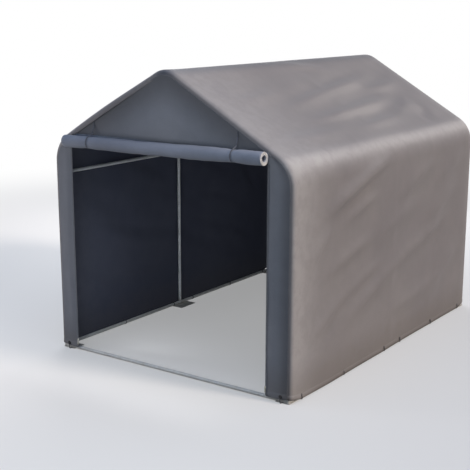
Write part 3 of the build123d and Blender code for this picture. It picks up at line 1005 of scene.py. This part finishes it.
def make_tie(side):
    """Tape from the rake seam down to the roll, round it and up inside the gable."""
    x = tie_place(side)
    cy, cz = (float(v) for v in roll_axis(np.array(x)))
    r = ROLL_RADIUS * float(roll_swell(np.array(x))) + ROLL_CLOTH / 2 + TIE_THICK
    top = float(roof_height(x, LIP_INSET + LIP_FLAT)) + TIE_TUCK
    heights = np.linspace(top, cz + r + TIE_CLEAR, 9)
    drop = smooth((top - heights) / (top - heights[-1]))
    face = gable_face(np.full(len(heights), x), heights) - TIE_LIFT
    face = np.minimum(face, LAP_Y - TIE_OFF_LAP * drop) - TIE_BULGE * drop**3
    route = [*zip(face, heights)]
    for t in np.radians((100, 130, 160, 190, 220, 250, 275)):
        route.append((cy + r * math.cos(t), cz + r * math.sin(t)))
    inside = FRONT_Y + TIE_INSIDE
    route += [(cy + r * 0.62, cz - r * 0.86), (inside, cz - r * 0.3), (inside, GABLE_BOTTOM + TIE_END)]
    line = curve_through(route, 110)
    path = stacked(x, line[:, 0], line[:, 1])
    name = f"{SIDES[side]}_tie_tape"
    tie = add_piece(name, tape_mesh(name, path, TIE_WIDTH, TIE_THICK), [TIE_WEB])
    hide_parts(f"{SIDES[side]}_door_tie")
    return tie


door = make_roll()
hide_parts("door_roll")
right_tie, left_tie = make_tie(1), make_tie(-1)


# Zips on the doorway's edges: tape, teeth and a parked slider.

ZIP_TOP = ROLL_Z - 0.02
ZIP_LOW = JAMB_LOW + 0.004
ZIP_PROUD = 0.0042
ZIP_HALF = 0.0035
ZIP_TAPE_SIZE = (0.013, 0.0010)
TOOTH, TOOTH_BEVEL = (0.0036, 0.0022, 0.0016), 0.0004
TOOTH_PITCH = 0.0030
FIRST_TOOTH = 0.004
SLIDER_BODY, SLIDER_BEVEL = (0.010, 0.0050, 0.013), 0.0018
SLIDER_TAB, TAB_BEVEL = (0.0075, 0.0016, 0.030), 0.0007
SLIDER_Z, SLIDER_INSET = 0.076, 0.003
BODY_MOVE = Vector((0, -0.0012, 0))
TAB_MOVE = Vector((0, -0.0050, -0.018))


def zip_line(side, z, inset):
    """Places on a doorway edge at heights z, a distance into the doorway."""
    lean = left_lean(z) * EDGE_LEAN_SHARE if side < 0 else 0 * z
    return stacked(side * (opening_edge(side) - inset + lean), FRONT_Y - ZIP_PROUD, z)


def make_zip(side):
    label = SIDES[side]
    line = zip_line(side, np.linspace(ZIP_LOW, ZIP_TOP, 60), -ZIP_HALF)
    add_piece(f"{label}_zip_tape", tape_mesh("tape", line, *ZIP_TAPE_SIZE), [ZIP_TAPE_WITH_PAINTED_SHADE])
    spots = zip_line(side, np.arange(ZIP_LOW + FIRST_TOOTH, ZIP_TOP, TOOTH_PITCH), ZIP_HALF)
    tooth = rounded_box(TOOTH, TOOTH_BEVEL, 1)
    teeth = joined("teeth", [(tooth, Matrix.Translation(spot)) for spot in spots])
    add_piece(f"{label}_zip_teeth", teeth, [ZIP_TEETH])
    at = Vector(zip_line(side, np.array([SLIDER_Z]), SLIDER_INSET)[0])
    body = rounded_box(SLIDER_BODY, SLIDER_BEVEL, 3), Matrix.Translation(at + BODY_MOVE)
    tab = rounded_box(SLIDER_TAB, TAB_BEVEL, 2), Matrix.Translation(at + TAB_MOVE)
    add_piece(f"{label}_zip_slider", joined("slider", [body, tab]), [NICKEL])


make_zip(1)
make_zip(-1)


# Hem eyelets with cord loops round the base rails.

EYELET_OUTER, EYELET_INNER = 0.0110, 0.0055
EYELET_PROFILE = (
    (EYELET_OUTER, 0.0),
    (EYELET_OUTER - 0.0003, 0.0011),
    (EYELET_OUTER - 0.0018, 0.0018),
    (EYELET_INNER + 0.0010, 0.0017),
    (EYELET_INNER, 0.0009),
    (EYELET_INNER, -0.0014),
)
EYELET_Z = HEM_Z + 0.023
END_EYELET_Z = JAMB_LOW + 0.022
WALL_EYELET_PROUD, REAR_EYELET_PROUD = 0.0006, 0.001
WALL_EYELETS = (-1.140, -0.640, -0.086, 0.150, 0.650, 1.130)
JAMB_EYELETS = (-0.832, 0.846)
REAR_EYELETS = (-0.82, -0.42, 0.0, 0.42, 0.82)
LOOP_RADIUS = 0.0026
LOOP_LEAN = 0.004


def loop_mesh(centre, out):
    """Cord from an eyelet down over the hem, under the base rail and back up inside."""
    centre, out = np.array(centre), np.array(out, float)
    edge = REAR_Y if out[1] else HALF_WIDTH
    rail = centre * (1 - np.abs(out)) + out * (edge - HALF_WIDTH + RIB_X)
    rail[2] = RAIL_Z
    lean = np.cross(UP, out) * LOOP_LEAN
    reach = TUBE_RADIUS + LOOP_RADIUS * 0.5
    level = np.array([1.0, 1.0, 0.0])
    under = rail * level + UP * LOOP_RADIUS * 1.45
    route = [
        centre - out * 0.006 + UP * 0.001,
        centre + out * 0.0032 + UP * 0.001,
        centre + out * 0.0046 - UP * 0.006 + lean * 0.3,
        (centre + out * 0.0036) * level + UP * (HEM_Z + 0.001) + lean * 0.7,
        under + out * reach * 0.7 + lean,
        under + lean,
        rail - out * reach * 0.85 - UP * reach * 0.5,
        rail - out * (reach + LOOP_RADIUS) + UP * 0.004,
        rail - out * reach * 0.4 + UP * (reach + LOOP_RADIUS) - lean,
        centre - out * 0.007 + UP * 0.0005 - lean * 0.4,
    ]
    return cord_mesh("loop", curve_through(route, 70), LOOP_RADIUS, 8)


def make_hem_fittings():
    hem_x = HALF_WIDTH + HEM_STEP + WALL_EYELET_PROUD
    jamb_y = PANEL_Y - HEM_STEP - JAMB_PILLOW
    rear_y = at_rear(PANEL_Y) + HEM_STEP + REAR_EYELET_PROUD
    spots = [((-hem_x, y, EYELET_Z), (-1, 0, 0)) for y in WALL_EYELETS]
    spots += [((hem_x + float(right_spread(y)), y, EYELET_Z), (1, 0, 0)) for y in WALL_EYELETS]
    spots += [((x, jamb_y, END_EYELET_Z), (0, -1, 0)) for x in JAMB_EYELETS]
    spots += [((x, rear_y, END_EYELET_Z), (0, 1, 0)) for x in REAR_EYELETS]
    ring = turned_mesh("eyelet", EYELET_PROFILE, 28)
    rings = joined("eyelets", [(ring, facing(*spot)) for spot in spots])
    cords = joined("loops", [(loop_mesh(*spot), IN_PLACE) for spot in spots])
    rings = add_piece("hem_eyelets", rings, [EYELET_BLACK])
    add_piece("hem_loops", cords, [LOOP_CORD])
    return rings


eyelets = make_hem_fittings()


# Stitch rows along the lips and the hems.

STITCH, STITCH_GAP, STITCH_RADIUS = 0.0055, 0.0030, 0.0005
FIRST_STITCH = 0.002
STITCH_SIDES = 6
STITCH_LIFT = 0.0002
LIP_STITCH_INSET, HEM_STITCH_INSET, HEM_STITCH_END = 0.004, 0.003, 0.03

# Shares of a stitch's length and radius, from end to end.
STITCH_SHARES = ((0.0, 0.15), (0.12, 0.8), (0.5, 1.0), (0.88, 0.8), (1.0, 0.15))


def stitch_mesh(name, path):
    """A row of thread stitches lying along a path."""
    shares, sizes = np.array(STITCH_SHARES).T
    starts = np.arange(FIRST_STITCH, lengths(path)[-1] - STITCH, STITCH + STITCH_GAP)
    centres = points_along(path, starts[:, None] + shares * STITCH)
    way = unit(centres[:, -1] - centres[:, 0])
    side = unit(np.cross(way, np.where(np.abs(way[:, 2:]) < 0.9, UP, (0.0, 1.0, 0.0))))
    turn = full_turn(STITCH_SIDES)[:, None]
    ring = np.cos(turn) * side[:, None] + np.sin(turn) * np.cross(way, side)[:, None]
    points = centres[:, :, None] + STITCH_RADIUS * sizes[:, None, None] * ring[:, None]
    index = np.arange(points.size // 3).reshape(points.shape[:3])
    caps = [*index[:, 0, ::-1].tolist(), *index[:, -1].tolist()]
    skin = quads(np.concatenate([index, index[..., :1]], axis=-1))
    mesh = bpy.data.meshes.new(name)
    mesh.from_pydata(points.reshape(-1, 3).tolist(), [], skin + caps)
    mesh.uv_layers.new(name="cloth")
    return tidy_mesh(mesh)


def lip_stitches(out):
    """A row round an end, on its panel's edge; out is -1 at the front."""
    a = cover_places()[4:-4]
    fine = np.interp(np.linspace(0, len(a) - 1, 900), np.arange(len(a)), a)
    x, z, nx, nz = section(fine)
    inset = PANEL_INSET + LIP_STITCH_INSET
    y = PANEL_Y if out < 0 else at_rear(PANEL_Y)
    spread = front_spread(fine, z) if out < 0 else 0
    return stacked(x - inset * nx + spread, y + out * STITCH_LIFT, z - inset * nz)


def hem_stitches(side):
    """A row along the top of a wall's hem."""
    y = np.linspace(FRONT_Y + HEM_STITCH_END, REAR_Y - HEM_STITCH_END, 400)
    x = side * (HALF_WIDTH + HEM_STEP + STITCH_LIFT) + (right_spread(y) if side > 0 else 0)
    return stacked(x, y, HEM_Z + HEM_BAND - HEM_STITCH_INSET)


def make_stitches():
    rows = (lip_stitches(-1), lip_stitches(1), hem_stitches(1), hem_stitches(-1))
    thread = joined("stitches", [(stitch_mesh("row", row), IN_PLACE) for row in rows])
    return add_piece("seam_stitches", thread, [THREAD])


stitches = make_stitches()


# Spring buttons where the tubes plug together.

BUTTON_INSET = 0.022
BUTTON_PROFILE = ((0.0036, -0.0006), (0.0036, 0.0010), (0.0031, 0.0019), (0.0018, 0.0025), (0.0, 0.0027))


def make_buttons():
    spots = []
    for side, label in SIDES.items():
        tubes = [f"{rib}_{label}_leg" for rib in ("front", "mid", "rear")]
        for bay in ("front", "rear"):
            tubes += [f"{bay}_{label}_eave_purlin", f"{bay}_{label}_base_rail"]
        for low, high in map(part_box, tubes):
            along = 2 if high.z - low.z > high.y - low.y else 1
            for end in (low[along] + BUTTON_INSET, high[along] - BUTTON_INSET):
                spot = (low + high) / 2
                spot.x -= side * TUBE_RADIUS
                spot[along] = end
                spots.append((spot, (-side, 0, 0)))
    button = turned_mesh("button", BUTTON_PROFILE, 18)
    buttons = joined("buttons", [(button, facing(*spot)) for spot in spots])
    add_piece("spring_buttons", buttons, [NICKEL])


make_buttons()


# Finish of the frame's own tubes and feet.

for name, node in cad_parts.items():
    if not node.hide_render:
        finish = FOOT_COAT if name.endswith("_foot") else TUBE_COAT
        for holder in node.material_slots:
            holder.material = finish


# Floor, light and camera.

FLOOR_REACH, FLOOR_DROP = 60.0, 0.0004
FLOOR_FADE = (3.0, 8.0)
FLOOR_GLOW = 0.30
FLOOR_SEEN, FLOOR_BOUNCE = (0.68, 0.67, 0.65), (0.17, 0.165, 0.16)
WHITE = (1.0, 1.0, 1.0)
DOME_BLUE = (0.55, 0.82, 1.35)
DOME_RISE = (0.25, 1.0)
DOME_LOW, DOME_HIGH = 0.03, 0.48
GABLE_LAMP_Z = 1.52
LAMP_Y = FRONT_Y - 0.50

# Suns: name, way to the sun, strength, softness in degrees and colour.
SUNS = (
    ("key", (0.89, 0.15, 0.41), 2.45, 12, (1.12, 0.98, 0.86)),
    ("rim", (0.21, 0.88, 0.43), 0.95, 24, (1.05, 0.99, 0.93)),
)

# Panel lamps: name, place, target, size, power and colour.
PANEL_LAMPS = (
    ("fill", (1.2, -3.6, 1.6), (0.6, FRONT_Y, 0.9), (1.6, 1.6), 13.5, (0.85, 0.99, 1.09)),
    ("side_fill", (-2.3, -2.7, 1.0), (-0.7, FRONT_Y, 0.8), (1.0, 1.0), 21.0, (1.00, 0.97, 0.98)),
    ("top_fill", (1.6, -1.7, 4.4), (0.5, -0.9, 1.5), (1.5, 1.5), 22.0, (1.00, 0.99, 1.00)),
    ("gable", (0, LAMP_Y, GABLE_LAMP_Z), (0, FRONT_Y, GABLE_LAMP_Z), (0.3, 0.2), 0.40, (0.95, 0.98, 1.02)),
    ("doorway", (-0.40, -1.10, 0.56), (-0.80, 0.6, 0.66), (0.24, 0.8), 1.15, (0.96, 0.98, 1.04)),
    ("inside", (0.55, 0.25, 0.80), (-0.9, 0.75, 0.75), (0.5, 0.6), 1.7, (0.96, 0.98, 1.04)),
    ("rear_fill", (-2.0, 4.3, 2.0), (0.0, REAR_Y, 0.9), (1.6, 1.6), 75.0, (1.00, 0.99, 0.98)),
    ("left_fill", (-3.6, 2.6, 2.9), (-HALF_WIDTH, 0.1, 0.9), (1.8, 1.8), 85.0, (1.02, 0.99, 0.97)),
    ("threshold", (0, LAMP_Y, 0.36), (0, FRONT_RIB_Y, 0.02), (1.3, 0.08), 0.9, (0.98, 0.99, 1.02)),
)

# Camera, fitted to the shelter's corners in the photo.
CAMERA_PLACE = (3.8549, -5.9897, 2.2614)
CAMERA_TURN, CAMERA_DIP, CAMERA_ROLL = (math.radians(degrees) for degrees in (35.19, 12.68, -0.21))
CAMERA_LENS, CAMERA_SENSOR = 78.70, 36.0


def make_floor():
    """Pale studio floor that keeps the shadow near the shelter and runs out to white."""
    mesh = bpy.data.meshes.new("floor")
    r, z = FLOOR_REACH, -FLOOR_DROP
    mesh.from_pydata([(-r, -r, z), (r, -r, z), (r, r, z), (-r, r, z)], [], [(0, 1, 2, 3)])
    floor = new_object("floor", mesh)
    s = Shading(bpy.data.materials.new("floor_pale"))
    mesh.materials.append(s.surface(Base_Color=FLOOR_SEEN, Roughness=0.9, Specular_IOR_Level=0.1))
    away = s.add("VectorMath", s.place(), operation="LENGTH").outputs["Value"]
    fade = s.ramp(away, *FLOOR_FADE, FLOOR_GLOW, 1.0)
    pale, white = s.nodes["Principled BSDF"], s.add("Emission")
    shown = s.add("MixShader", fade, pale.outputs[0], white.outputs[0])
    bounce = s.add("BsdfDiffuse", FLOOR_BOUNCE)
    both = s.add("MixShader", s.seen(), bounce.outputs[0], shown.outputs[0])
    s.put(s.nodes["Material Output"].inputs["Surface"], both.outputs[0])


def make_world():
    """Soft dome, brightest overhead, that the camera and gloss see as white."""
    world = bpy.data.worlds.new("studio")
    bpy.context.scene.world = world
    s = Shading(world)
    dome = s.nodes["Background"]
    height = s.add("SeparateXYZ", s.add("TexCoord").outputs["Generated"]).outputs["Z"]
    s.put(dome.inputs["Color"], DOME_BLUE)
    s.put(dome.inputs["Strength"], s.ramp(height, *DOME_RISE, DOME_LOW, DOME_HIGH))
    white = s.add("Background", WHITE, 1.0)
    both = s.add("MixShader", s.seen(), dome.outputs[0], white.outputs[0])
    s.put(s.nodes["World Output"].inputs["Surface"], both.outputs[0])


def add_lamp(name, kind, shine_way, power, colour):
    """A lamp that shines one way."""
    data = bpy.data.lights.new(name, kind)
    data.energy, data.color = power, colour
    lamp = new_object(name, data)
    lamp.rotation_euler = shine_way.to_track_quat("-Z", "Y").to_euler()
    return lamp


def make_lights():
    """Low warm key from the right, a glossy rim from behind, fills all round, weak lamps inside."""
    for name, towards, power, softness, colour in SUNS:
        sun = add_lamp(name, "SUN", -Vector(towards), power, colour)
        sun.data.angle = math.radians(softness)
        sun.visible_diffuse = name != "rim"
    for name, place, target, size, power, colour in PANEL_LAMPS:
        panel = add_lamp(name, "AREA", Vector(target) - Vector(place), power, colour)
        panel.data.shape, panel.data.size, panel.data.size_y = "RECTANGLE", *size
        panel.location = place
        panel.visible_camera = False
        panel.visible_glossy = False


def make_camera():
    data = bpy.data.cameras.new("camera")
    data.lens = CAMERA_LENS
    data.sensor_width = CAMERA_SENSOR
    camera = new_object("camera", data)
    turn = Matrix.Rotation(CAMERA_TURN, 4, "Z") @ Matrix.Rotation(math.pi / 2 - CAMERA_DIP, 4, "X")
    camera.matrix_world = Matrix.Translation(CAMERA_PLACE) @ turn @ Matrix.Rotation(-CAMERA_ROLL, 4, "Z")
    bpy.context.scene.camera = camera


make_floor()
make_world()
make_lights()
make_camera()
bpy.context.scene.view_settings.view_transform = "Standard"
